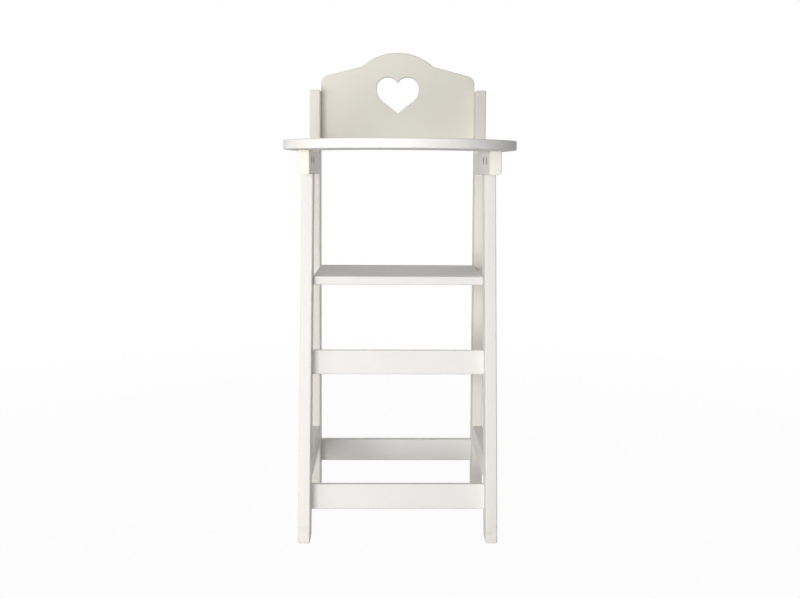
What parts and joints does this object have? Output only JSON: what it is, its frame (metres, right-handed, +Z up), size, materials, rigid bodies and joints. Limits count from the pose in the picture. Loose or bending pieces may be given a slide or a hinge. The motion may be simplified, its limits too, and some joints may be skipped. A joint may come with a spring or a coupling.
{
  "type": "doll high chair",
  "caption": "Free-standing doll high chair with slanted front legs, a heart cut in the back panel and a fixed crescent tray on its arms.",
  "frame": {"origin": "middle of the bounding box, on the surface that the feet stand on", "axes": "+Z up, -Y towards the front of the chair, +X to the right as seen from the front"},
  "size_m": [0.2274, 0.2956, 0.518],
  "materials": {
    "white_paint": "semi-gloss white paint on wood",
    "zinc_steel": "zinc-plated steel",
    "beech_dowel": "bare beech"
  },
  "bodies": {
    "root": {"front_leg_left": "white_paint", "front_leg_right": "white_paint", "rear_post_left": "white_paint", "rear_post_right": "white_paint", "arm_left": "white_paint", "arm_right": "white_paint", "side_rail_left": "white_paint", "side_rail_right": "white_paint", "seat_board": "white_paint", "back_panel": "white_paint", "tray": "white_paint", "front_rail_middle": "white_paint", "front_rail_lower": "white_paint", "rear_rail_lower": "white_paint", "arm_barrel_nuts": "zinc_steel", "tray_bolts": "zinc_steel", "leg_studs": "zinc_steel", "leg_dowels": "beech_dowel", "tray_dowels": "beech_dowel", "arm_dowels": "beech_dowel", "side_rail_dowels": "beech_dowel", "rail_screws": "zinc_steel", "rail_dowels": "beech_dowel", "seat_screws": "zinc_steel", "back_panel_screws": "zinc_steel"}
  },
  "joints": []
}
